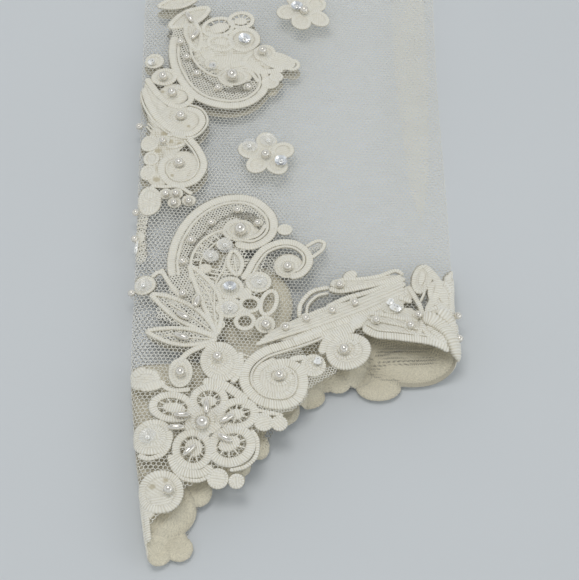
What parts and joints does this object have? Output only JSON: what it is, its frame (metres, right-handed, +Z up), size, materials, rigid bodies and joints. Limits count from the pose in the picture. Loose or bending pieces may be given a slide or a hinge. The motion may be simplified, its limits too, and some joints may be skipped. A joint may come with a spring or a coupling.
{
  "type": "fingerless lace bridal glove",
  "caption": "Fingerless bridal glove: a net sleeve lying flat, with satin-stitched lace motifs, pearls and sequins sewn on and a pointed scalloped hand edge.",
  "frame": {"origin": "under the middle of the glove, on the surface that it lies on", "axes": "+Y from the pointed hand end to the elbow hem, +X to the right across the flattened sleeve, +Z up out of the back of the hand"},
  "size_m": [0.1044, 0.32, 0.015],
  "materials": {
    "net": "fine off-white hexagonal net",
    "hem_cloth": "soft ivory tricot binding",
    "elastic": "woven flat elastic",
    "lace": "ivory satin stitch thread with a soft sheen",
    "lace_inside": "matte cream wrong side of the lace",
    "pearl": "glossy ivory pearl coating",
    "sequin": "clear iridescent film",
    "crystal": "clear cut glass"
  },
  "bodies": {
    "root": {"net_sleeve": "net", "seam_allowance": "net", "elbow_hem": "hem_cloth", "elbow_elastic": "elastic", "tip_flower_lace": "lace", "tip_scroll_lace": "lace", "hand_scroll_lace": "lace", "hand_edge_lace": "lace", "fold_wrap_lace": "lace", "wrist_leaf_lace": "lace", "wrist_flower_lace": "lace", "wrist_paisley_lace": "lace", "fold_cluster_lace": "lace", "fold_chain_lace": "lace", "arm_paisley_lace": "lace", "arm_flower_lace": "lace", "small_flower_lace": "lace", "elbow_flower_lace": "lace", "elbow_paisley_lace": "lace", "palm_tip_lace": "lace_inside", "palm_edge_lace": "lace_inside", "palm_paisley_lace": "lace_inside", "palm_arm_lace": "lace_inside", "large_pearls": "pearl", "mid_pearls": "pearl", "small_pearls": "pearl", "fold_pearls": "pearl", "rice_pearls": "pearl", "cup_sequins": "sequin", "seed_beads": "pearl", "crystals": "crystal", "bugle_beads": "crystal", "palm_pearls": "pearl"}
  },
  "joints": []
}
